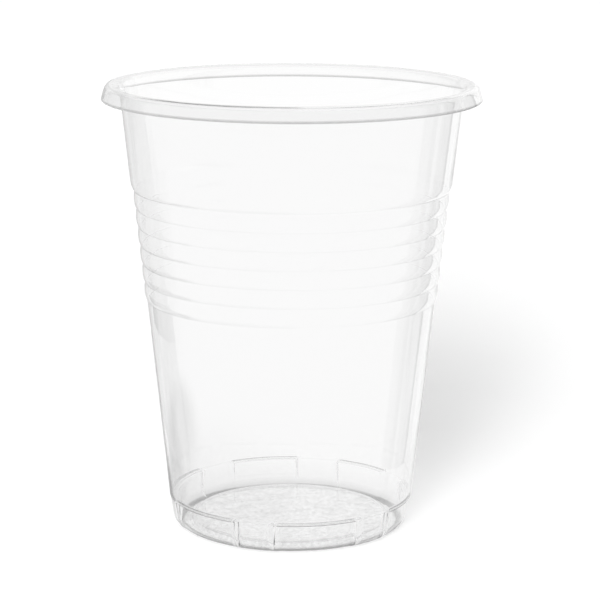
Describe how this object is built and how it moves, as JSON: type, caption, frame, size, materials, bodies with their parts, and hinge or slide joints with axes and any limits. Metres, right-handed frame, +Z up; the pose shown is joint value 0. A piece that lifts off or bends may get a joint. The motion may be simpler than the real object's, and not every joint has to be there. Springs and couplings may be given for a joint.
{
  "type": "plastic disposable cup",
  "caption": "Clear one-piece thermoformed drinking cup: tapered wall, grip ribs, slanted turned-down lip and an interrupted stacking ring.",
  "frame": {"origin": "centre of the ring that the cup stands on", "axes": "+Z up along the cup's axis, -Y towards the front seen in the picture"},
  "size_m": [0.0702, 0.0702, 0.0834],
  "materials": {
    "clear_plastic": "clear glossy thermoformed sheet"
  },
  "bodies": {
    "root": {"cup": "clear_plastic"}
  },
  "joints": []
}
